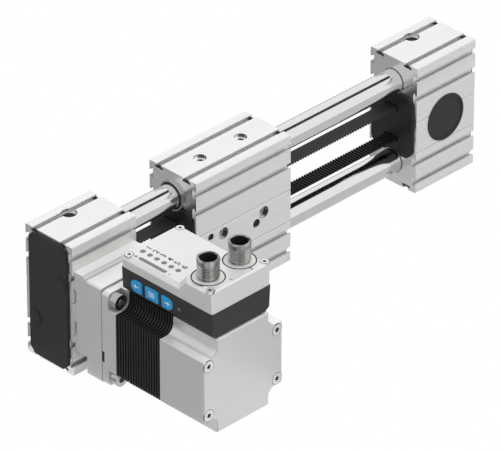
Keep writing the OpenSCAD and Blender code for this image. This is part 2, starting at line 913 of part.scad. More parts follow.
module motor_flange() {
    color("silver") at_motor() difference() {
        union() {
            along_y(back_y, motor_y - seam_w) rounded(motor_w, motor_w, flange_r);
            along_y(back_y, motor_y) rounded(motor_w - 2 * seam_d, motor_w - 2 * seam_d, flange_r);
            along_y(fins_y, back_y) scooped(0);
            pin_y(pilot_d / 2, motor_y, motor_y + pilot_h);
        }
        at_bolts() pin_y(bolt_d / 2 + insert_gap, back_y - over, motor_y + over);
        translate([-motor_half - over, motor_y - flange_slot_d, -flange_slot_z])
            translate([0, 0, -flange_slot_h / 2])
                cube([over + flange_slot_in, flange_slot_d, flange_slot_h]);
    }
}

module flange_screws() {
    color("silver") at_motor() at_bolts() {
        translate([0, back_y, 0]) rotate([-90, 0, 0]) translate([0, 0, -bolt_head_h])
            socket_head(bolt_head_d, bolt_head_h);
        pin_y(bolt_d / 2, back_y, bolt_end);
    }
}

module motor_fins() {
    pitch = fins_len / fin_count;
    color("#2b2b2b") at_motor() {
        along_y(rear_y, fins_y) scooped(fin_d);
        for (k = [0:fin_count - 1])
            along_y(fins_y - k * pitch - fin_t, fins_y - k * pitch) scooped(0);
    }
}

module at_rear_screws() {
    for (s = [-1, 1], t = [-1, 1])
        translate([s * (motor_half - rear_edge_x), tail_y, t * (motor_half - rear_edge_z)])
            rotate([-90, 0, 0]) children();
}

// Countersunk screw that starts in a face at z = 0, with its rim pulled in by a gap
module rear_screw(gap) {
    r = rear_head_d / 2;
    cylinder(r1 = r - gap, r2 = r / 2, h = r / 2);
    cylinder(r = r / 2, h = rear_screw_l);
}

module rear_housing() {
    color("silver") at_motor() difference() {
        union() {
            along_y(tail_y + rear_bevel, rear_y) scooped(0);
            along_y(tail_y, tail_y + rear_bevel) scooped(rear_bevel);
        }
        at_rear_screws() rear_screw(0);
    }
}

module rear_screws() {
    color("gray") at_motor() at_rear_screws() difference() {
        rear_screw(end_gap);
        for (a = [0, 180])
            rotate(a) cylinder(d = rear_head_d / 2, h = rear_head_d / 3, center = true, $fn = 3);
    }
}

// ---- controller ----

// Middle of the controller, at the height of the motor axis
module at_box() {
    at_motor() children();
}

module control_base() {
    side = box_w / 2 - base_draft;
    foot = side - chamfer_w;
    foot_z = motor_half + foot_h;
    color("#3a3838") at_box() difference() {
        union() {
            along_y(box_end, box_y) polygon([
                [-foot, foot_z], [-side, foot_z + chamfer_h], [-box_w / 2, seam_z],
                [box_w / 2, seam_z], [side, foot_z + chamfer_h], [foot, foot_z]
            ]);
            translate([foot_in - foot, box_end + foot_in, motor_half])
                cube([2 * (foot - foot_in), box_len - 2 * foot_in, 2 * foot_h]);
        }
        for (k = [-1:1]) at_key(k) translate([0, 0, -key_pocket])
            linear_extrude(key_pocket + over) key_outline(k, key_gap);
        at_status() translate([0, 0, -light_seat]) cylinder(d = status_d, h = light_seat + over);
    }
}

// Keys' places on the sloping side: x runs away from the mount, y up the slope
module at_key(k) {
    translate([-box_w / 2, key_axis_y - k * key_pitch, seam_z])
        rotate([0, -slope_a, 0]) rotate([90, 0, -90]) translate([0, -key_down, 0]) children();
}

module at_status() {
    at_key(0) translate([status_y, 0, 0]) children();
}

// Outline of key k, grown by a gap; the outer keys have one round end
module key_outline(k, gap) {
    w = (k == 0 ? key_mid : key_len) + 2 * gap;
    h = key_h + 2 * gap;
    big = key_round + gap;
    small = key_r;
    if (k == 0) rounded(w, h, small);
    else mirror([k > 0 ? 0 : 1, 0]) {
        square([w - 2 * big, h], center = true);
        translate([-w / 2, small - h / 2]) square([w / 2, h - 2 * small]);
        translate([small - w / 2, -h / 2]) square([w / 2, h]);
        square([w - 2 * small, h - 2 * big], center = true);
        translate([0, big - h / 2]) square([w / 2, h - 2 * big]);
        for (s = [-1, 1]) {
            translate([w / 2 - big, s * (h / 2 - big)]) circle(big);
            translate([small - w / 2, s * (h / 2 - small)]) circle(small);
        }
    }
}

module key(k) {
    color("#3e9fd6") at_box() at_key(k) translate([0, 0, key_travel + key_gap - key_pocket])
        linear_extrude(key_pocket - key_travel - key_gap + key_proud) key_outline(k, 0);
}

module key_left() {
    key(-1);
}

module key_middle() {
    key(0);
}

module key_right() {
    key(1);
}

module status_light() {
    color("lightyellow") at_box() at_status() translate([0, 0, -light_seat])
        cylinder(d = status_d, h = light_seat + insert_gap);
}

// Part of the lid with side view pts, bevelled by w along its upper edges
module lid_part(pts, edges, w) {
    difference() {
        along_x(-box_w / 2, box_w / 2) polygon(pts);
        for (e = edges) translate([0, e[0].x, e[0].y])
            rotate([atan2(e[1].y - e[0].y, e[1].x - e[0].x), 0, 0])
                for (m = [0, 1]) mirror([m, 0, 0]) translate([box_w / 2, 0, 0])
                    along_y(-2 * box_len, 2 * box_len) polygon([
                        [-w, 0], [0, -bevel_z], [over, -bevel_z], [over, over], [-w, over]
                    ]);
    }
}

module lid_body() {
    foot_y = high_y + lid_ramp + lid_ramp * lid_h / lid_step;
    low = [[box_end + lid_high / 2, seam_z], [box_end + lid_high / 2, lid_z],
        [box_y - bevel_end, lid_z], [box_y, lid_z - bevel_end], [box_y, seam_z]];
    high = [[box_end, seam_z], [box_end, high_z - bevel_end], [box_end + bevel_end, high_z],
        [high_y, high_z], [foot_y, seam_z]];
    intersection() {
        union() {
            lid_part(low, [[low[1], low[2]]], bevel_x);
            lid_part(high, [[high[2], high[3]], [high[3], high[4]]], high_bevel_x);
        }
        translate([0, (box_y + box_end) / 2, seam_z])
            linear_extrude(lid_h + lid_step + over) rounded(box_w, box_len, lid_r);
    }
}

module at_low_screws() {
    for (s = [-1, 1])
        translate([s * (box_w / 2 - low_screw_edge), box_y - lid_screw_y, pocket_z]) children();
}

module at_high_screws() {
    for (s = [-1, 1])
        translate([s * (box_w / 2 - high_screw_edge), box_end + lid_screw_y, high_pocket_z])
            children();
}

module at_plug(s) {
    translate([s * plug_pitch / 2, plug_axis_y, high_z]) children();
}

module lights(gap, h) {
    for (k = [0:light_count - 1])
        translate([light_edge - box_w / 2, box_y - light_y - k * light_pitch, lid_z - light_seat])
            cylinder(d = light_d - 2 * gap, h = h);
    middle_y = box_y - light_y - (light_count - 1) * light_pitch / 2;
    translate([bar_edge - box_w / 2, middle_y, lid_z - light_seat]) linear_extrude(h)
        rounded(bar_w - 2 * gap, bar_l - 2 * gap, bar_w / 2 - gap - edge_r / 4);
}

module control_lid() {
    pocket_d = lid_screw_d + 2 * insert_gap + light_seat;
    color("gainsboro") at_box() difference() {
        lid_body();
        at_low_screws() cylinder(d = pocket_d, h = lid_h);
        at_high_screws() cylinder(d = pocket_d, h = lid_h);
        for (s = [-1, 1]) at_plug(s) translate([0, 0, -plug_foot_t])
            cylinder(d = plug_foot + 6 * insert_gap, h = plug_foot_t + over);
        lights(0, light_seat + over);
    }
}

module lid_screws() {
    color("gray") at_box() {
        at_low_screws() rotate([180, 0, 0]) translate([0, 0, -lid_pocket])
            socket_head(lid_screw_d, lid_pocket);
        at_high_screws() rotate([180, 0, 0]) translate([0, 0, -lid_pocket])
            socket_head(lid_screw_d, lid_pocket);
    }
}

module indicator_lights() {
    color("gray") at_box() lights(insert_gap, light_seat + light_proud);
}

// Round connector with a foot in the lid and an open socket
module shell() {
    r = plug_thread / 2;
    neck = 0.9 * r;
    translate([0, 0, -plug_foot_t]) rotate_extrude() polygon([
        [0, 0], [plug_foot / 2, 0], [plug_foot / 2, plug_foot_t], [neck, plug_foot_t],
        [neck, plug_foot_t + over], [r, plug_foot_t + 2 * over], [r, plug_h - over],
        [r - over / 2, plug_h + plug_foot_t], [socket_d / 2, plug_h + plug_foot_t],
        [socket_d / 2, plug_h + plug_foot_t - socket_l], [0, plug_h + plug_foot_t - socket_l]
    ]);
}

module power_shell() {
    color("silver") at_box() at_plug(-1) shell();
}

module logic_shell() {
    color("silver") at_box() at_plug(1) shell();
}

module contact_inserts() {
    color("#222222") at_box() for (s = [-1, 1]) at_plug(s)
        translate([0, 0, plug_h - socket_l]) cylinder(d = socket_d - 2 * insert_gap, h = over);
}

module pins(n) {
    for (k = [1:n]) rotate(k * 360 / n) translate([socket_d / 3.4, 0, plug_h - socket_l + over])
        cylinder(d = pin_d, h = pin_l - over, $fn = 24);
}

module contact_pins() {
    color("gold") at_box() {
        at_plug(-1) pins(power_pins);
        at_plug(1) pins(logic_pins);
    }
}

drive_head();
idle_head();
rod_upper();
rod_lower();
drive_cover();
tail_cover();
drive_guard();
idle_guard();
axle_caps();
mount_block();
motor_flange();
flange_screws();
motor_fins();
rear_housing();
rear_screws();
control_base();
control_lid();
lid_screws();
power_shell();
logic_shell();
contact_inserts();
contact_pins();
indicator_lights();
status_light();
drive_bearings();
idle_bearings();
belt();
carriage_block();
rod_bushes();
rod_seals();
carriage_guards();
clamp_upper();
clamp_lower();
clamp_screws();
drive_pulley();
drive_shaft();
idle_pulley();
idle_shaft();
key_left();
key_middle();
key_right();
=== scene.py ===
import json
import math

import bmesh
import bpy
from mathutils import Matrix, Vector


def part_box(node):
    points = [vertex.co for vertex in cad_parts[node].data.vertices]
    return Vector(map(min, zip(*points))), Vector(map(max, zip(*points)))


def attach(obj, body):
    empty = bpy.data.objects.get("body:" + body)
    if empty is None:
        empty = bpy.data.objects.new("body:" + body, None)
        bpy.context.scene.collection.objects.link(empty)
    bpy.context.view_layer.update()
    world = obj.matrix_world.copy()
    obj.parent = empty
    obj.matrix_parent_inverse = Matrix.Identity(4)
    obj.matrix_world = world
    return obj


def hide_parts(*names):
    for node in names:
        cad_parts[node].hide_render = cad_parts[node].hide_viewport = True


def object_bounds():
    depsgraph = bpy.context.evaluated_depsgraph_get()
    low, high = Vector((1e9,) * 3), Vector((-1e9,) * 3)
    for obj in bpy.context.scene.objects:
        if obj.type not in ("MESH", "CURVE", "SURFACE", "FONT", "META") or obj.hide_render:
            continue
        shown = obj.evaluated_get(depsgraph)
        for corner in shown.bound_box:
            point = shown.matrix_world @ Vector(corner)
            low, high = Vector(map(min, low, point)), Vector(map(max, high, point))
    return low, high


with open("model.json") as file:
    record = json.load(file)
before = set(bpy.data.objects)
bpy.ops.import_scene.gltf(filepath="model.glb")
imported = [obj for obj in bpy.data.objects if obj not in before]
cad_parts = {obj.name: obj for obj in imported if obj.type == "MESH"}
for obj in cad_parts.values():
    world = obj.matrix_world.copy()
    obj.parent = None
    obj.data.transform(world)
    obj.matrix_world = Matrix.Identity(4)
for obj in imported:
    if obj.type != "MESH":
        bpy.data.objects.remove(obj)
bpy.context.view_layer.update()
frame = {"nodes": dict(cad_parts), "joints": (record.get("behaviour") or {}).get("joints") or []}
nodes = frame["nodes"]

# End heads and carriage body: lengths of one aluminium extrusion, sawn off, milled for
# the bores and natural anodised. Pale and silky, with faint die lines along the length
# and darker, duller sawn ends.


def linear(code):
    """The linear colour of an sRGB hex code."""
    values = [int(code[i : i + 2], 16) / 255 for i in (1, 3, 5)]
    return [v / 12.92 if v <= 0.04045 else ((v + 0.055) / 1.055) ** 2.4 for v in values] + [1]


def add(tree, kind, inputs=None, to=None, **settings):
    """A node with its settings; an input is a value or (node, output), to is (node, input)."""
    made = tree.nodes.new(kind)
    for name, value in settings.items():
        setattr(made, name, value)
    for name, value in (inputs or {}).items():
        if isinstance(value, tuple) and isinstance(value[0], bpy.types.Node):
            tree.links.new(value[0].outputs[value[1]], made.inputs[name])
        else:
            made.inputs[name].default_value = value
    if to:
        tree.links.new(made.outputs[0], to[0].inputs[to[1]])
    return made


def finish_named(name, code, metallic, roughness):
    """A new material, its tree, its shader and the object's coordinates."""
    made = bpy.data.materials.new(name)
    made.use_nodes = True
    tree = made.node_tree
    shader = tree.nodes["Principled BSDF"]
    shader.inputs["Base Color"].default_value = linear(code)
    shader.inputs["Metallic"].default_value = metallic
    shader.inputs["Roughness"].default_value = roughness
    made.diffuse_color = linear(code)
    return made, tree, shader, add(tree, "ShaderNodeTexCoord")


def dress(material, *names):
    """Gives CAD nodes a material in place of their packed one."""
    for name in names:
        for place in nodes[name].material_slots:
            place.material = material


# Die lines lie 0.1 to 0.3 mm apart and are drawn at about 0.9 mm to show, over a faint
# drift of tone in bands of some 6 mm.
anodised, tree, shader, place = finish_named("anodised_extruded_aluminium", "#E0E0DF", 0.4, 0.42)
drawn = add(tree, "ShaderNodeMapping", {"Vector": (place, "Object"), "Scale": (0.012, 1, 1)})
lines = add(
    tree, "ShaderNodeTexNoise", {"Vector": (drawn, 0), "Scale": 1100, "Detail": 2}
)
cloud = add(tree, "ShaderNodeTexNoise", {"Vector": (drawn, 0), "Scale": 160, "Detail": 2})
skin = add(
    tree,
    "ShaderNodeMixRGB",
    {"Fac": (cloud, 0), "Color1": linear("#DADAD9"), "Color2": linear("#E6E6E5")},
)

# Below the outer faces come the slots: their lips are painted a duller grey as shade at their
# mouths, and further down their floors are painted near white as light.
low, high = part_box("drive_head")
half = (high - low) / 2
centred = add(
    tree, "ShaderNodeMapping",
    {"Vector": (place, "Object"), "Location": (0, 0, -(low.z + high.z) / 2)},
)
apart = add(tree, "ShaderNodeSeparateXYZ", {"Vector": (centred, 0)})
depths = []
for side, reach in (("Y", half.y), ("Z", half.z)):
    out = add(tree, "ShaderNodeMath", {0: (apart, side)}, operation="ABSOLUTE")
    depths.append(add(tree, "ShaderNodeMath", {0: reach, 1: (out, 0)}, operation="SUBTRACT"))
depth = add(tree, "ShaderNodeMath", {0: (depths[0], 0), 1: (depths[1], 0)}, operation="MINIMUM")
is_inside = add(
    tree, "ShaderNodeMapRange", {"Value": (depth, 0), "From Min": 0.0001, "From Max": 0.0002}
)
# Painted shade: the slot lips take a darker grey.
lip = add(
    tree,
    "ShaderNodeMixRGB",
    {"Fac": (is_inside, 0), "Color1": (skin, 0), "Color2": linear("#C2C2C1")},
)
# Painted light: the slot floors take a near white.
is_floor = add(
    tree, "ShaderNodeMapRange", {"Value": (depth, 0), "From Min": 0.0006, "From Max": 0.0009}
)
slot_floors_lit = add(
    tree,
    "ShaderNodeMixRGB",
    {"Fac": (is_floor, 0), "Color1": (lip, 0), "Color2": linear("#FBFBFA")},
)

# The side slots lie in pairs above and below the middle, and their undercuts are painted grey as
# shade.
pair_height, slot_spread = 0.0262, 0.0059
wing_offset, wing_half = 0.0027, 0.0005
undercut_depth, undercut_half = 0.0019, 0.0009
beside = add(tree, "ShaderNodeMath", {0: (apart, "Z")}, operation="ABSOLUTE")
for step in (pair_height, slot_spread):
    moved = add(tree, "ShaderNodeMath", {0: (beside, 0), 1: step}, operation="SUBTRACT")
    beside = add(tree, "ShaderNodeMath", {0: (moved, 0)}, operation="ABSOLUTE")
wing = add(
    tree, "ShaderNodeMath", {0: (beside, 0), 1: wing_offset, 2: wing_half},
    operation="COMPARE",
)
behind = add(
    tree, "ShaderNodeMath", {0: (depths[0], 0), 1: undercut_depth, 2: undercut_half},
    operation="COMPARE",
)
is_undercut = add(tree, "ShaderNodeMath", {0: (wing, 0), 1: (behind, 0)}, operation="MULTIPLY")
# Painted shade: the undercuts take a grey.
undercut = add(
    tree,
    "ShaderNodeMixRGB",
    {"Fac": (is_undercut, 0), "Color1": (slot_floors_lit, 0), "Color2": linear("#B4B4B3")},
)

# The slots in the top and the underside are painted with shade, darkest just under their mouths
# and a little lighter further down.
top_slot_offset, top_slot_half = 0.0103, 0.0031
aside = add(tree, "ShaderNodeMath", {0: (apart, "Y")}, operation="ABSOLUTE")
in_top_slot = add(
    tree, "ShaderNodeMath", {0: (aside, 0), 1: top_slot_offset, 2: top_slot_half},
    operation="COMPARE",
)
is_lower = add(
    tree, "ShaderNodeMath", {0: (depths[1], 0), 1: (depths[0], 0)}, operation="LESS_THAN"
)
is_sunk = add(
    tree, "ShaderNodeMath", {0: (in_top_slot, 0), 1: (is_lower, 0)}, operation="MULTIPLY"
)
# Painted shade: a grey that lightens with depth in the top and underside slots.
top_slot_shade_depth = add(
    tree, "ShaderNodeMapRange",
    {"Value": (depth, 0), "From Min": 0.0001, "From Max": 0.0014, "To Max": 1},
)
top_slot_shade = add(
    tree,
    "ShaderNodeMixRGB",
    {"Fac": (top_slot_shade_depth, 0), "Color1": linear("#C2C2C1"), "Color2": linear("#D2D2D1")},
)
is_top_slot_shaded = add(tree, "ShaderNodeMath", {0: (is_sunk, 0), 1: (is_inside, 0)}, operation="MULTIPLY")
slots_lit_and_shaded = add(
    tree,
    "ShaderNodeMixRGB",
    {"Fac": (is_top_slot_shaded, 0), "Color1": (undercut, 0), "Color2": (top_slot_shade, 0)},
)

# What faces along the travel was cut after extruding: drilled walls are painted a dark grey as
# the shade in the holes, and sawn ends are bright, with blade marks drawn at 0.7 mm.
facing = add(tree, "ShaderNodeSeparateXYZ", {"Vector": (place, "Normal")})
endwise = add(tree, "ShaderNodeMath", {0: (facing, 0)}, operation="ABSOLUTE")
is_drilled = add(
    tree, "ShaderNodeMapRange", {"Value": (endwise, 0), "From Min": 0.1, "From Max": 0.6}
)
# Painted shade: the drilled walls take a dark grey.
hole_walls_shaded = add(
    tree,
    "ShaderNodeMixRGB",
    {"Fac": (is_drilled, 0), "Color1": (slots_lit_and_shaded, 0), "Color2": linear("#5A5A59")},
)
across = add(tree, "ShaderNodeMapping", {"Vector": (place, "Object"), "Scale": (1, 0.03, 1)})
teeth = add(tree, "ShaderNodeTexNoise", {"Vector": (across, 0), "Scale": 1400, "Detail": 1})
sawn = add(
    tree,
    "ShaderNodeMixRGB",
    {"Fac": (teeth, 0), "Color1": linear("#CFCFCE"), "Color2": linear("#E2E2E1")},
)
is_end = add(
    tree, "ShaderNodeMapRange", {"Value": (endwise, 0), "From Min": 0.992, "From Max": 0.998}
)
add(
    tree,
    "ShaderNodeMixRGB",
    {"Fac": (is_end, 0), "Color1": (hole_walls_shaded, 0), "Color2": (sawn, 0)},
    (shader, "Base Color"),
)
add(
    tree, "ShaderNodeMapRange", {"Value": (is_end, 0), "To Min": 0.4, "To Max": 1},
    (shader, "Metallic"),
)
rough = add(tree, "ShaderNodeMapRange", {"Value": (lines, 0), "To Min": 0.36, "To Max": 0.48})
add(
    tree,
    "ShaderNodeMixRGB",
    {"Fac": (is_end, 0), "Color1": (rough, 0), "Color2": (0.24, 0.24, 0.24, 1)},
    (shader, "Roughness"),
)
edge = add(tree, "ShaderNodeBevel", {"Radius": 0.0002}, samples=4)
add(
    tree,
    "ShaderNodeBump",
    {"Height": (lines, 0), "Strength": 0.12, "Distance": 0.00006, "Normal": (edge, 0)},
    (shader, "Normal"),
)
dress(anodised, "drive_head", "idle_head", "carriage_block")

# Guide rods: 14 mm shafts of hardened steel, centreless ground and hard chromed, pushed
# into the heads. They mirror what stands round them through a breath of grinding haze,
# whose marks of 0.1 mm are drawn at 1 mm.
chromed, tree, shader, place = finish_named("hard_chromed_ground_steel", "#E3E3E2", 1.0, 0.08)
ground = add(tree, "ShaderNodeMapping", {"Vector": (place, "Object"), "Scale": (1, 0.3, 0.3)})
haze = add(tree, "ShaderNodeTexNoise", {"Vector": (ground, 0), "Scale": 900, "Detail": 1})
add(
    tree,
    "ShaderNodeMapRange",
    {"Value": (haze, 0), "To Min": 0.08, "To Max": 0.16},
    (shader, "Roughness"),
)
dress(chromed, "rod_upper", "rod_lower")

# Bearings, shafts and bushes: ground bearing steel pressed into the heads and the
# carriage. Bright grey rings whose turning marks of 0.1 mm are drawn at 0.8 mm.
bearing_steel, tree, shader, place = finish_named("ground_bearing_steel", "#BDBDBC", 1.0, 0.28)
rings = add(tree, "ShaderNodeTexNoise", {"Vector": (place, "Object"), "Scale": 1200})
add(
    tree,
    "ShaderNodeMapRange",
    {"Value": (rings, 0), "To Min": 0.22, "To Max": 0.36},
    (shader, "Roughness"),
)
dress(bearing_steel, "rod_bushes", "drive_bearings", "idle_bearings")
dress(bearing_steel, "drive_shaft", "idle_shaft")

# Rod seals: nitrile rubber wipers pressed into the mouths of the carriage's bores.
# Dull near black, with a little bloom on the surface in spots of 2 mm.
nitrile, tree, shader, place = finish_named("nitrile_rubber_moulded", "#242424", 0.0, 0.6)
bloom = add(tree, "ShaderNodeTexNoise", {"Vector": (place, "Object"), "Scale": 500})
add(
    tree,
    "ShaderNodeMixRGB",
    {"Fac": (bloom, 0), "Color1": linear("#1E1E1E"), "Color2": linear("#2C2C2C")},
    (shader, "Base Color"),
)
add(
    tree,
    "ShaderNodeBump",
    {"Height": (bloom, 0), "Strength": 0.2, "Distance": 0.00005},
    (shader, "Normal"),
)
dress(nitrile, "rod_seals")

# End covers and axle caps: moulded ABS snapped over the extrusion's ends and into the
# bearing bores. The spark eroded mould leaves a dull black with a 0.1 mm grain, drawn
# at 0.6 mm to show, and rounded edges that catch a soft grey line.
moulded, tree, shader, place = finish_named("abs_moulded_black", "#302F2F", 0.0, 0.55)
shader.inputs["Specular IOR Level"].default_value = 0.22
eroded = add(
    tree, "ShaderNodeTexNoise", {"Vector": (place, "Object"), "Scale": 1600, "Detail": 2}
)
cloud = add(tree, "ShaderNodeTexNoise", {"Vector": (place, "Object"), "Scale": 60})
add(
    tree,
    "ShaderNodeMixRGB",
    {"Fac": (cloud, 0), "Color1": linear("#2D2C2C"), "Color2": linear("#343333")},
    (shader, "Base Color"),
)
edge = add(tree, "ShaderNodeBevel", {"Radius": 0.0003}, samples=4)
add(
    tree,
    "ShaderNodeBump",
    {"Height": (eroded, 0), "Strength": 0.25, "Distance": 0.00008, "Normal": (edge, 0)},
    (shader, "Normal"),
)
dress(moulded, "drive_cover", "tail_cover", "axle_caps")

# Belt guards: glass filled nylon plates screwed over the pulley spaces, with a window
# for each strand. Deeper black than the covers, with flow marks of 1 mm from the fibre.
nylon, tree, shader, place = finish_named("nylon_moulded_black", "#262626", 0.0, 0.45)
shader.inputs["Specular IOR Level"].default_value = 0.2
fibre = add(tree, "ShaderNodeTexNoise", {"Vector": (place, "Object"), "Scale": 900})
add(
    tree,
    "ShaderNodeMixRGB",
    {"Fac": (fibre, 0), "Color1": linear("#222222"), "Color2": linear("#2B2B2B")},
    (shader, "Base Color"),
)
edge = add(tree, "ShaderNodeBevel", {"Radius": 0.0003}, samples=4)
add(
    tree,
    "ShaderNodeBump",
    {"Height": (fibre, 0), "Strength": 0.2, "Distance": 0.00006, "Normal": (edge, 0)},
    (shader, "Normal"),
)
dress(nylon, "drive_guard", "idle_guard", "carriage_guards")

# Pulleys and belt clamp: aluminium milled from bar, left bare. The cutter leaves marks
# about 0.2 mm apart, drawn at 1 mm to show.
milled, tree, shader, place = finish_named("milled_aluminium", "#B4B4B3", 1.0, 0.35)
marks = add(tree, "ShaderNodeTexNoise", {"Vector": (place, "Object"), "Scale": 1000})
add(
    tree,
    "ShaderNodeMapRange",
    {"Value": (marks, 0), "To Min": 0.28, "To Max": 0.42},
    (shader, "Roughness"),
)
dress(milled, "drive_pulley", "idle_pulley", "clamp_upper", "clamp_lower")

# Toothed belt: cast polyurethane over steel cords, 2 mm pitch, run round both pulleys and held in
# the clamp. Its back is satin, with casting marks of 1.4 mm, and the belt is painted darker
# towards the bottom, most on the lower run, as shade under the upper run.
urethane, tree, shader, place = finish_named("polyurethane_cast_black", "#2E2E2E", 0.0, 0.5)
shader.inputs["Specular IOR Level"].default_value = 0.2
skin = add(tree, "ShaderNodeTexNoise", {"Vector": (place, "Object"), "Scale": 700})
back = add(
    tree,
    "ShaderNodeMixRGB",
    {"Fac": (skin, 0), "Color1": linear("#282828"), "Color2": linear("#343434")},
)
low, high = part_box("belt")
height = add(tree, "ShaderNodeSeparateXYZ", {"Vector": (place, "Object")})
# Painted shade: darker towards the bottom of the belt.
lower_run = add(
    tree,
    "ShaderNodeMapRange",
    {"Value": (height, "Z"), "From Min": high.z - 0.002, "From Max": low.z + 0.003},
)
add(
    tree,
    "ShaderNodeMixRGB",
    {"Fac": (lower_run, 0), "Color1": (back, 0), "Color2": linear("#141414")},
    (shader, "Base Color"),
)
add(
    tree,
    "ShaderNodeBump",
    {"Height": (skin, 0), "Strength": 0.2, "Distance": 0.00005},
    (shader, "Normal"),
)
dress(urethane, "belt")

# Motor mount, motor flange and rear housing: aluminium milled, glass bead blasted and clear
# anodised. An even matt grey, with the faces that look straight up painted paler as light falling
# on the tops; the bead marks of 0.1 mm are drawn at 0.7 mm.
blasted, tree, shader, place = finish_named("bead_blasted_aluminium", "#D3D2D1", 0.5, 0.38)
beads = add(
    tree, "ShaderNodeTexNoise", {"Vector": (place, "Object"), "Scale": 1500, "Detail": 2}
)
cloud = add(tree, "ShaderNodeTexNoise", {"Vector": (place, "Object"), "Scale": 35})
matt = add(
    tree,
    "ShaderNodeMixRGB",
    {"Fac": (cloud, 0), "Color1": linear("#CFCECD"), "Color2": linear("#D6D5D4")},
)
facing = add(tree, "ShaderNodeSeparateXYZ", {"Vector": (place, "Normal")})
# Painted light: faces that look straight up take a paler tone.
is_top = add(
    tree, "ShaderNodeMapRange", {"Value": (facing, 2), "From Min": 0.96, "From Max": 0.99}
)
add(
    tree,
    "ShaderNodeMixRGB",
    {"Fac": (is_top, 0), "Color1": (matt, 0), "Color2": linear("#F2F1F0")},
    (shader, "Base Color"),
)
edge = add(tree, "ShaderNodeBevel", {"Radius": 0.0003}, samples=4)
add(
    tree,
    "ShaderNodeBump",
    {"Height": (beads, 0), "Strength": 0.18, "Distance": 0.00006, "Normal": (edge, 0)},
    (shader, "Normal"),
)
dress(blasted, "mount_block", "motor_flange", "rear_housing")

# Motor fins: the ribbed aluminium shell round the stator, dip painted. A dull black
# with softened rib edges and an orange peel of about 0.8 mm.
painted, tree, shader, place = finish_named("dip_painted_black", "#232322", 0.0, 0.5)
shader.inputs["Specular IOR Level"].default_value = 0.25
peel = add(
    tree, "ShaderNodeTexNoise", {"Vector": (place, "Object"), "Scale": 1300, "Detail": 2}
)
add(
    tree,
    "ShaderNodeMixRGB",
    {"Fac": (peel, 0), "Color1": linear("#1F1F1E"), "Color2": linear("#282827")},
    (shader, "Base Color"),
)
edge = add(tree, "ShaderNodeBevel", {"Radius": 0.0002}, samples=4)
add(
    tree,
    "ShaderNodeBump",
    {"Height": (peel, 0), "Strength": 0.2, "Distance": 0.00006, "Normal": (edge, 0)},
    (shader, "Normal"),
)
dress(painted, "motor_fins")

# Socket screws: cold formed stainless steel that clamps the motor flange and the belt,
# tumbled bright. The tumbling marks of 0.1 mm are drawn at 0.7 mm.
tumbled, tree, shader, place = finish_named("tumbled_stainless_steel", "#B2B2B1", 1.0, 0.25)
swirl = add(tree, "ShaderNodeTexNoise", {"Vector": (place, "Object"), "Scale": 1400})
add(
    tree,
    "ShaderNodeMapRange",
    {"Value": (swirl, 0), "To Min": 0.18, "To Max": 0.34},
    (shader, "Roughness"),
)
edge = add(tree, "ShaderNodeBevel", {"Radius": 0.0002}, samples=4)
tree.links.new(edge.outputs[0], shader.inputs["Normal"])
dress(tumbled, "flange_screws", "clamp_screws")

# Star screws: zinc plated steel, driven into the rear housing and the lid. Pale bright heads with
# marks drawn at 0.7 mm; an occlusion mask paints the recesses near black as shade.
plated, tree, shader, place = finish_named("zinc_plated_steel", "#E0E0DF", 0.6, 0.3)
# Painted shade: the occlusion mask darkens the recesses.
hollow = add(tree, "ShaderNodeAmbientOcclusion", {"Distance": 0.0012}, samples=8)
open_part = add(
    tree,
    "ShaderNodeMapRange",
    {"Value": (hollow, "AO"), "From Min": 0.45, "From Max": 0.8},
)
add(
    tree,
    "ShaderNodeMixRGB",
    {"Fac": (open_part, 0), "Color1": linear("#1C1C1B"), "Color2": linear("#E0E0DF")},
    (shader, "Base Color"),
)
swirl = add(tree, "ShaderNodeTexNoise", {"Vector": (place, "Object"), "Scale": 1400})
add(
    tree,
    "ShaderNodeMapRange",
    {"Value": (swirl, 0), "To Min": 0.24, "To Max": 0.38},
    (shader, "Roughness"),
)
dress(plated, "rear_screws", "lid_screws")

# Rear screw gap shade: thin dark rings, in the nitrile material, fill the gap between each head
# and its countersink in the rear housing as painted shade.


def new_piece(name, shape, body, slot, *materials):
    """Turns a bmesh into a piece that rides on a body and takes the given materials; slot is not
    used.
    """
    bmesh.ops.recalc_face_normals(shape, faces=shape.faces)
    mesh = bpy.data.meshes.new(name)
    shape.to_mesh(mesh)
    shape.free()
    made = bpy.data.objects.new(name, mesh)
    bpy.context.collection.objects.link(made)
    for material in materials:
        mesh.materials.append(material)
    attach(made, body)
    return made


# Painted shade: dark rings in the gaps round the rear screw heads.
low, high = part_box("rear_screws")
head_radius = 0.0033
gap = 0.0003
rear_gap_shade_rings = bmesh.new()
for x in (low.x + head_radius, high.x - head_radius):
    for z in (low.z + head_radius, high.z - head_radius):
        ring = bmesh.ops.create_circle(rear_gap_shade_rings, segments=8, radius=gap / 2)["verts"]
        bmesh.ops.rotate(rear_gap_shade_rings, verts=ring, matrix=Matrix.Rotation(math.pi / 2, 3, "Y"))
        outer = (x, low.y + gap / 2, z + head_radius + gap / 2)
        bmesh.ops.translate(rear_gap_shade_rings, verts=ring, vec=outer)
        ring_edges = [item for item in rear_gap_shade_rings.edges if all(vert in ring for vert in item.verts)]
        bmesh.ops.spin(
            rear_gap_shade_rings, geom=ring + ring_edges, axis=(0, 1, 0), cent=(x, low.y, z), steps=40,
            angle=math.tau, use_merge=True,
        )
bmesh.ops.remove_doubles(rear_gap_shade_rings, verts=rear_gap_shade_rings.verts, dist=1e-7)
new_piece("rear_screw_gap_shade", rear_gap_shade_rings, "frame", "seal_rubber", nitrile)

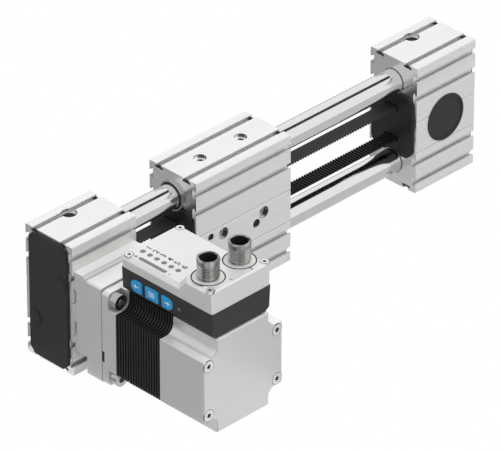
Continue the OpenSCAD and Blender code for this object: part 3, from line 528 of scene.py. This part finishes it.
# Slot end shade: short black blocks, in the nitrile material, set in pairs into the undercuts at
# the ends of the slots in the top and the underside, a little inside the sawn faces, as painted
# shade in the slot ends.
shade_block_size = (0.0012, 0.0027, 0.0017)
shade_block_offsets = (-0.0119, -0.0087, 0.0087, 0.0119)
from_end, from_face = 0.0008, 0.00185
profiles = {"drive_head": "frame", "idle_head": "frame", "carriage_block": "carriage"}
for name, body in profiles.items():
    low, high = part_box(name)
    shade_blocks = bmesh.new()
    for x in (low.x + from_end, high.x - from_end):
        for y in shade_block_offsets:
            for z in (low.z + from_face, high.z - from_face):
                made = bmesh.ops.create_cube(shade_blocks, size=1)["verts"]
                bmesh.ops.scale(shade_blocks, verts=made, vec=shade_block_size)
                bmesh.ops.translate(shade_blocks, verts=made, vec=(x, y, z))
    bmesh.ops.bevel(
        shade_blocks, geom=shade_blocks.edges[:], offset=0.0003, affect="EDGES", segments=2,
        profile=0.5, material=-1,
    )
    new_piece(f"{name}_slot_shade_blocks", shade_blocks, body, "seal_rubber", nitrile)

# Hole shade: black discs, in the moulded nylon material, set down the heads' top holes and the
# carriage's clamp access and lubrication holes as painted shade deep in the holes.
top_sink, side_sink = 0.0031, 0.0008
top_hole_radius, top_hole_offset = 0.0042, 0.0087
side_holes = ((0.0024, 0.0095, -0.0045), (0.0019, -0.0243, 0.0018))
rim_width, crown, skirt_length = 0.0004, 0.0001, 0.0008
hole_shade_discs = []
for name in ("drive_head", "idle_head"):
    low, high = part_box(name)
    mouth = Vector(((low.x + high.x) / 2, top_hole_offset, high.z - top_sink))
    hole_shade_discs.append(("frame", top_hole_radius, mouth, 0))
low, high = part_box("carriage_block")
middle = (low + high) / 2
for radius, along, up in side_holes:
    mouth = Vector((middle.x + along, low.y + side_sink, middle.z + up))
    hole_shade_discs.append(("carriage", radius, mouth, 1))
for count, (body, radius, mouth, sideways) in enumerate(hole_shade_discs):
    disc = bmesh.new()
    bmesh.ops.create_circle(disc, cap_ends=True, segments=40, radius=radius)
    bmesh.ops.inset_region(disc, faces=disc.faces[:], thickness=rim_width, depth=crown)
    rim = [item for item in disc.edges if item.is_boundary]
    skirt = bmesh.ops.extrude_edge_only(disc, edges=rim)["geom"]
    lower = [item for item in skirt if isinstance(item, bmesh.types.BMVert)]
    bmesh.ops.translate(disc, verts=lower, vec=(0, 0, -skirt_length))
    bmesh.ops.contextual_create(disc, geom=[item for item in disc.edges if item.is_boundary])
    turn = Matrix.Rotation(sideways * math.pi / 2, 3, "X")
    bmesh.ops.rotate(disc, verts=disc.verts, matrix=turn)
    bmesh.ops.translate(disc, verts=disc.verts, vec=mouth)
    new_piece(f"hole_shade_disc_{count + 1}", disc, body, "guard_black", nylon)

# Flange slot plug: a black moulded nylon strip with softened edges, pushed into the slot
# in the flange's side, which it closes.
mount_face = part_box("mount_block")[0].y
low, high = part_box("motor_flange")
strip_size = (0.0034, 0.0019, 0.0065)
strip_place = (low.x + 0.0018, mount_face - 0.001, (low.z + high.z) / 2 - 0.0117)
strip = bmesh.new()
bmesh.ops.create_cube(strip, size=1)
bmesh.ops.scale(strip, verts=strip.verts, vec=strip_size)
bmesh.ops.bevel(
    strip, geom=strip.edges[:], offset=0.0002, affect="EDGES", segments=2, profile=0.5,
    material=-1,
)
bmesh.ops.translate(strip, verts=strip.verts, vec=strip_place)
new_piece("flange_slot_plug", strip, "frame", "guard_black", nylon)

# Controller base: moulded polycarbonate that stands on the motor and carries the keys.
# A warm dark grey with the covers' eroded grain of 0.1 mm, drawn at 0.7 mm.
warm_grey, tree, shader, place = finish_named("polycarbonate_moulded_grey", "#333131", 0.0, 0.5)
shader.inputs["Specular IOR Level"].default_value = 0.25
eroded = add(
    tree, "ShaderNodeTexNoise", {"Vector": (place, "Object"), "Scale": 1500, "Detail": 2}
)
cloud = add(tree, "ShaderNodeTexNoise", {"Vector": (place, "Object"), "Scale": 50})
add(
    tree,
    "ShaderNodeMixRGB",
    {"Fac": (cloud, 0), "Color1": linear("#302E2E"), "Color2": linear("#363434")},
    (shader, "Base Color"),
)
edge = add(tree, "ShaderNodeBevel", {"Radius": 0.0003}, samples=4)
add(
    tree,
    "ShaderNodeBump",
    {"Height": (eroded, 0), "Strength": 0.22, "Distance": 0.00007, "Normal": (edge, 0)},
    (shader, "Normal"),
)
dress(warm_grey, "control_base")

# Controller lid: die cast aluminium, fine silver powder coat with a 0.9 mm orange peel,
# held by four screws in its corners.
coated, tree, shader, place = finish_named("powder_coated_silver", "#D8D8D7", 0.35, 0.4)
peel = add(
    tree, "ShaderNodeTexNoise", {"Vector": (place, "Object"), "Scale": 1100, "Detail": 2}
)
cloud = add(tree, "ShaderNodeTexNoise", {"Vector": (place, "Object"), "Scale": 40})
add(
    tree,
    "ShaderNodeMixRGB",
    {"Fac": (cloud, 0), "Color1": linear("#D4D4D3"), "Color2": linear("#DDDDDC")},
    (shader, "Base Color"),
)
edge = add(tree, "ShaderNodeBevel", {"Radius": 0.0008}, samples=4)
add(
    tree,
    "ShaderNodeBump",
    {"Height": (peel, 0), "Strength": 0.15, "Distance": 0.00006, "Normal": (edge, 0)},
    (shader, "Normal"),
)
dress(coated, "control_lid")

# Keys: one blue silicone mat behind the base, its three keys standing through. Satin,
# slightly mottled over 2 to 3 mm where the white switch foil shines through.
silicone, tree, shader, place = finish_named("silicone_moulded_blue", "#2C9EDD", 0.0, 0.4)
shader.inputs["Specular IOR Level"].default_value = 0.3
mottle = add(tree, "ShaderNodeTexNoise", {"Vector": (place, "Object"), "Scale": 400})
add(
    tree,
    "ShaderNodeMixRGB",
    {"Fac": (mottle, 0), "Color1": linear("#2797D8"), "Color2": linear("#34A6E3")},
    (shader, "Base Color"),
)
edge = add(tree, "ShaderNodeBevel", {"Radius": 0.0003}, samples=4)
tree.links.new(edge.outputs[0], shader.inputs["Normal"])
dress(silicone, "key_left", "key_middle", "key_right")

# Key signs: white ink screen printed on the silicone, an arrow for each direction of
# travel and a list sign between them. The screen's mesh of 0.1 mm is drawn at 1 mm.


def stroke(shape, length, width, turn, place=(0, 0)):
    """Adds a flat stroke of ink in the XY plane."""
    made = bmesh.ops.create_grid(shape, x_segments=1, y_segments=1, size=0.5)["verts"]
    bmesh.ops.scale(shape, verts=made, vec=(length, width, 1))
    bmesh.ops.rotate(shape, verts=made, matrix=Matrix.Rotation(math.radians(turn), 3, "Z"))
    bmesh.ops.translate(shape, verts=made, vec=(place[0], place[1], 0))


white_ink, tree, shader, place = finish_named("screen_ink_white", "#EAF3F8", 0.0, 0.4)
dots = add(tree, "ShaderNodeTexNoise", {"Vector": (place, "Object"), "Scale": 900})
add(
    tree,
    "ShaderNodeMixRGB",
    {"Fac": (dots, 0), "Color1": linear("#E2EEF5"), "Color2": linear("#F2F8FB")},
    (shader, "Base Color"),
)
press = next(joint for joint in frame["joints"] if joint["name"] == "middle_press")
inward = Vector(press["axis"]).normalized()
ink = 0.00006
line = 0.0005
shaft, barb, barb_turn = 0.0036, 0.002, 40
barb_along, barb_aside = 0.0011, 0.0005
bar_length, bar_pitch = 0.0042, 0.0012
for key, sign in (("left", -1), ("middle", 0), ("right", 1)):
    low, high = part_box(f"key_{key}")
    sketch = bmesh.new()
    if sign:
        stroke(sketch, shaft, line, 0)
        stroke(sketch, barb, line, barb_turn, (sign * barb_along, -sign * barb_aside))
        stroke(sketch, barb, line, -barb_turn, (sign * barb_along, sign * barb_aside))
    else:
        for height in (-bar_pitch, 0, bar_pitch):
            stroke(sketch, bar_length, line, 0, (0, height))
    grown = bmesh.ops.extrude_face_region(sketch, geom=sketch.faces[:])["geom"]
    tops = [item for item in grown if isinstance(item, bmesh.types.BMVert)]
    bmesh.ops.translate(sketch, verts=tops, vec=(0, 0, ink))
    depth = (high.x - low.x - abs(inward.z) * (high.z - low.z)) / inward.x
    face = (low + high) / 2 - inward * depth / 2
    across = Vector((0, -1, 0))
    turn = Matrix((across, (-inward).cross(across), -inward)).transposed().to_4x4()
    bmesh.ops.transform(sketch, matrix=Matrix.Translation(face) @ turn, verts=sketch.verts)
    new_piece(f"sign_{key}", sketch, f"{key}_key", "light_status", white_ink)

# Indicator lenses, level bar and status lens: smoked acrylic light guides set flush in
# the lid and the base, glossy grey and a little cloudy in patches of 2 mm.
smoked, tree, shader, place = finish_named("acrylic_smoked_grey", "#6A6A6B", 0.0, 0.25)
cast = add(tree, "ShaderNodeTexNoise", {"Vector": (place, "Object"), "Scale": 500})
add(
    tree,
    "ShaderNodeMixRGB",
    {"Fac": (cast, 0), "Color1": linear("#626263"), "Color2": linear("#727273")},
    (shader, "Base Color"),
)
dress(smoked, "indicator_lights", "status_light")

# Lid print: dark grey screen ink on the coat, plain numbers beside the six lights and
# the two sockets and a plus and a minus at the ends of the level bar.
grey_ink, tree, shader, place = finish_named("screen_ink_grey", "#2E2E2F", 0.0, 0.5)
dots = add(tree, "ShaderNodeTexNoise", {"Vector": (place, "Object"), "Scale": 900})
add(
    tree,
    "ShaderNodeMixRGB",
    {"Fac": (dots, 0), "Color1": linear("#282829"), "Color2": linear("#363637")},
    (shader, "Base Color"),
)
low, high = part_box("indicator_lights")
panel = high.z - 0.00013
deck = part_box("control_lid")[1].z
light_count, light_radius, light_pitch = 6, 0.00145, 0.00517
row, first = low.x + 0.0111, high.y - light_radius
bar_x, plus_y, minus_y = low.x + 0.0007, high.y - 0.0026, low.y + 0.0022
light_size, sign_size, socket_size = 0.0052, 0.004, 0.0034
words = [
    (str(k + 1), light_size, row, first - k * light_pitch, panel) for k in range(light_count)
]
words += [("+", sign_size, bar_x, plus_y, panel), ("-", sign_size, bar_x, minus_y, panel)]
for word, plug, right, down in (("1", "power", 0.0064, 0.0102), ("2", "logic", -0.0016, 0.01)):
    low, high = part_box(f"{plug}_shell")
    centre = (low + high) / 2
    words.append((word, socket_size, centre.x + right, centre.y - down, deck))
thicker = 0.00006
print_layer = bmesh.new()
for word, size, x, y, z in words:
    letter = bpy.data.curves.new("letter", "FONT")
    letter.body = word
    letter.size = size
    letter.align_x = "CENTER"
    letter.align_y = "CENTER"
    letter.extrude = ink / 2
    letter.offset = thicker
    holder = bpy.data.objects.new("letter", letter)
    bpy.context.collection.objects.link(holder)
    bpy.context.view_layer.update()
    flat = bpy.data.meshes.new_from_object(holder)
    bpy.data.objects.remove(holder)
    flat.transform(Matrix.Translation((x, y, z)))
    print_layer.from_mesh(flat)
bmesh.ops.remove_doubles(print_layer, verts=print_layer.verts, dist=1e-7)
new_piece("lid_print", print_layer, "frame", "light_grey", grey_ink)

# Socket shells: M12 connectors, each turned from brass with undercut, thread and lead-in, nickel
# plated and pressed into a silver foot. Dark steel grey, with light and dark streaks of some 4 mm
# painted up and down as reflections. The 1 mm thread is drawn at 1.2 mm.
nickel, tree, shader, place = finish_named("nickel_plated_brass", "#7C7B79", 1.0, 0.22)
# Painted reflection: light and dark streaks up and down the shells.
upright = add(tree, "ShaderNodeMapping", {"Vector": (place, "Object"), "Scale": (1, 1, 0.03)})
reflection_streaks = add(tree, "ShaderNodeTexNoise", {"Vector": (upright, 0), "Scale": 260, "Detail": 1})
reflection_streak_mask = add(
    tree, "ShaderNodeMapRange", {"Value": (reflection_streaks, 0), "From Min": 0.35, "From Max": 0.65}
)
add(
    tree,
    "ShaderNodeMixRGB",
    {"Fac": (reflection_streak_mask, 0), "Color1": linear("#565554"), "Color2": linear("#B0AFAD")},
    (shader, "Base Color"),
)
thread_radius, thread_start, thread_length, thread_pitch = 0.006, 0.002, 0.0082, 0.0012
groove, run_in, run_out = 0.12, 0.0006, 0.002
foot_top, neck_radius, bore_radius, bore_floor = 0.0006, 0.0052, 0.0047, 0.0028
collar_radius, top = 0.0061, 0.0124
steps = 72
slack = 0.00001
for plug in ("power", "logic"):
    low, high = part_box(f"{plug}_shell")
    centre = (low + high) / 2
    foot = (high.x - low.x) / 2
    outline = [(foot, 0), (foot, foot_top), (neck_radius, foot_top), (neck_radius, 0.0016)]
    outline += [
        (thread_radius, thread_start + thread_length * k / steps) for k in range(steps + 1)
    ]
    outline += [(collar_radius, 0.0104), (collar_radius, 0.0117), (0.0058, top)]
    outline += [(0.0048, top), (bore_radius, 0.0122), (bore_radius, bore_floor), (0, bore_floor)]
    sleeve = bmesh.new()
    rail = [sleeve.verts.new((radius, 0, height)) for radius, height in outline]
    for one, two in zip(rail, rail[1:]):
        sleeve.edges.new((one, two))
    bmesh.ops.spin(
        sleeve, geom=sleeve.verts[:] + sleeve.edges[:], axis=(0, 0, 1), cent=(0, 0, 0),
        steps=48, angle=math.tau, use_merge=True,
    )
    bmesh.ops.remove_doubles(sleeve, verts=sleeve.verts, dist=1e-6)
    for vert in sleeve.verts:
        radius = math.hypot(vert.co.x, vert.co.y)
        above, below = vert.co.z - thread_start, thread_start + thread_length - vert.co.z
        if abs(radius - thread_radius) < slack and min(above, below) > -slack:
            turn = math.atan2(vert.co.y, vert.co.x) / math.tau
            wave = abs(2 * ((vert.co.z / thread_pitch - turn) % 1) - 1)
            fade = min(1, above / run_in, below / run_out)
            shrink = 1 - groove * wave * max(fade, 0)
            vert.co.x *= shrink
            vert.co.y *= shrink
    for face in sleeve.faces:
        middle = face.calc_center_median()
        if math.hypot(middle.x, middle.y) < bore_radius + slack and middle.z > bore_floor - slack:
            face.material_index = 1
        elif middle.z < foot_top + slack:
            face.material_index = 2
    bmesh.ops.translate(sleeve, verts=sleeve.verts, vec=(centre.x, centre.y, low.z))
    shell = new_piece(
        f"{plug}_threaded_shell", sleeve, "frame", "plug_nickel", nickel, nylon, coated
    )
    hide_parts(f"{plug}_shell")

# Contact carriers and contacts: black moulded inserts in the shells, with turned brass
# pins whose gold plating varies a little in tone over 1 mm.
dress(nylon, "contact_inserts")
gold, tree, shader, place = finish_named("gold_plated_contact", "#C9A251", 1.0, 0.25)
drift = add(tree, "ShaderNodeTexNoise", {"Vector": (place, "Object"), "Scale": 900})
add(
    tree,
    "ShaderNodeMixRGB",
    {"Fac": (drift, 0), "Color1": linear("#BF9848"), "Color2": linear("#D4AE5E")},
    (shader, "Base Color"),
)
dress(gold, "contact_pins")

# Socket foot shade: a thin dark ring, in the nitrile material, round each socket's foot on the
# lid, as painted shade in the gap there.
ring_radius = 0.0003
for plug in ("power", "logic"):
    low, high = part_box(f"{plug}_shell")
    centre = (low + high) / 2
    ring = bmesh.new()
    bmesh.ops.create_circle(ring, segments=10, radius=ring_radius)
    bmesh.ops.rotate(ring, verts=ring.verts, matrix=Matrix.Rotation(math.pi / 2, 3, "X"))
    outward = (high.x - low.x) / 2 + ring_radius
    bmesh.ops.translate(ring, verts=ring.verts, vec=(outward, 0, 0))
    bmesh.ops.spin(
        ring, geom=ring.verts[:] + ring.edges[:], axis=(0, 0, 1), cent=(0, 0, 0),
        steps=64, angle=math.tau, use_merge=True,
    )
    bmesh.ops.remove_doubles(ring, verts=ring.verts, dist=1e-7)
    bmesh.ops.translate(ring, verts=ring.verts, vec=(centre.x, centre.y, deck))
    new_piece(f"{plug}_gap_shade_ring", ring, "frame", "seal_rubber", nitrile)

# Studio floor: a wide sheet of white paper just under the part. It keeps the shadow and
# runs out to white all round.
low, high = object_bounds()


def sheet(name, corner, opposite, material):
    """A level sheet between two corners, part of the studio."""
    shape = bmesh.new()
    made = bmesh.ops.create_grid(shape, x_segments=1, y_segments=1, size=0.5)["verts"]
    spread = Vector(opposite) - Vector(corner)
    bmesh.ops.scale(shape, verts=made, vec=(spread.x, spread.y, 1))
    bmesh.ops.translate(shape, verts=made, vec=(Vector(corner) + Vector(opposite)) / 2)
    mesh = bpy.data.meshes.new(name)
    shape.to_mesh(mesh)
    shape.free()
    mesh.materials.append(material)
    made = bpy.data.objects.new(name, mesh)
    bpy.context.collection.objects.link(made)
    return made


def seen_plainly(tree):
    """One for camera, glossy and transmission rays, which see the studio as it looks."""
    rays = add(tree, "ShaderNodeLightPath")
    seen = add(
        tree, "ShaderNodeMath", {0: (rays, "Is Camera Ray"), 1: (rays, "Is Glossy Ray")},
        operation="MAXIMUM",
    )
    return add(
        tree, "ShaderNodeMath", {0: (seen, 0), 1: (rays, "Is Transmission Ray")},
        operation="MAXIMUM",
    )


paper, tree, shader, place = finish_named("pale_paper", "#C4C4C3", 0.0, 0.9)
clear = seen_plainly(tree)
glow = add(tree, "ShaderNodeEmission", {"Color": (1, 1, 1, 1), "Strength": 1.0})
add(
    tree, "ShaderNodeMixShader", {0: (clear, 0), 1: (shader, 0), 2: (glow, 0)},
    (tree.nodes["Material Output"], "Surface"),
)
base = low[2] - 0.0006
reach = 6
sheet("floor", (-reach, -reach, base), (reach, reach, base), paper)

# Studio cards: matt grey boards laid round the object and a black bar hung over it.
# Only polished and satin metal sees them, so the rods show a dark line along the top
# and the upright faces stand out from the tops.
laid = base + 0.0002
hung = 1.07
for name, code, corner, opposite in (
    ("bar_over_rods", "#3A3A3A", (0.1, -0.28, hung), (1.9, 0.16, hung)),
    ("board_right", "#CFCFCF", (0.05, -2.5, laid), (3.5, 0.02, laid)),
    ("board_back", "#B4B4B4", (-2.5, 0.02, laid), (3.5, 2.5, laid)),
    ("board_left", "#B4B4B4", (-2.5, -0.115, laid), (-0.03, 0.02, laid)),
):
    card, tree, shader, place = finish_named(f"{name}_card", code, 0.0, 1.0)
    add(
        tree, "ShaderNodeEmission", {"Color": linear(code), "Strength": 1.0},
        (tree.nodes["Material Output"], "Surface"),
    )
    board = sheet(name, corner, opposite, card)
    board.visible_camera = False
    board.visible_diffuse = False
    board.visible_shadow = False
    board.visible_transmission = False

# Studio light: a white surround and three soft boxes, the strongest high over the object
# and a little to the motor side, so that the tops are the palest faces.
world = bpy.data.worlds.new("studio")
world.use_nodes = True
tree = world.node_tree
clear = seen_plainly(tree)
dim = tree.nodes["Background"]
dim.inputs["Color"].default_value = (1, 1, 1, 1)
dim.inputs["Strength"].default_value = 0.5
bright = add(tree, "ShaderNodeBackground", {"Color": (1, 1, 1, 1), "Strength": 1.0})
add(
    tree, "ShaderNodeMixShader", {0: (clear, 0), 1: (dim, 0), 2: (bright, 0)},
    (tree.nodes["World Output"], "Surface"),
)
bpy.context.scene.world = world
middle = (Vector(low) + Vector(high)) / 2
for name, offset, side, watts in (
    ("window_box", (-0.9, 0.8, 1.3), 0.9, 4),
    ("front_box", (0.3, -1.6, 0.9), 1.2, 8),
    ("top_box", (0.0, -0.4, 1.8), 1.0, 24),
):
    lamp = bpy.data.lights.new(name, "AREA")
    lamp.size = side
    lamp.energy = watts
    holder = bpy.data.objects.new(name, lamp)
    holder.location = middle + Vector(offset)
    holder.rotation_euler = (-Vector(offset)).to_track_quat("-Z", "Y").to_euler()
    holder.visible_glossy = False
    bpy.context.collection.objects.link(holder)

# Camera: a long lens from the motor side, high over the drive end and far enough off
# that the rods run nearly side by side.
lens = bpy.data.cameras.new("camera")
lens.lens = 445.27
lens.sensor_width = 36
lens.clip_end = 20
eye = bpy.data.objects.new("camera", lens)
eye.location = (-1.85169, -1.98477, 1.77255)
eye.rotation_euler = (math.radians(57.9645), 0, math.radians(-44.8626))
bpy.context.collection.objects.link(eye)
bpy.context.scene.camera = eye
bpy.context.scene.view_settings.view_transform = "Standard"
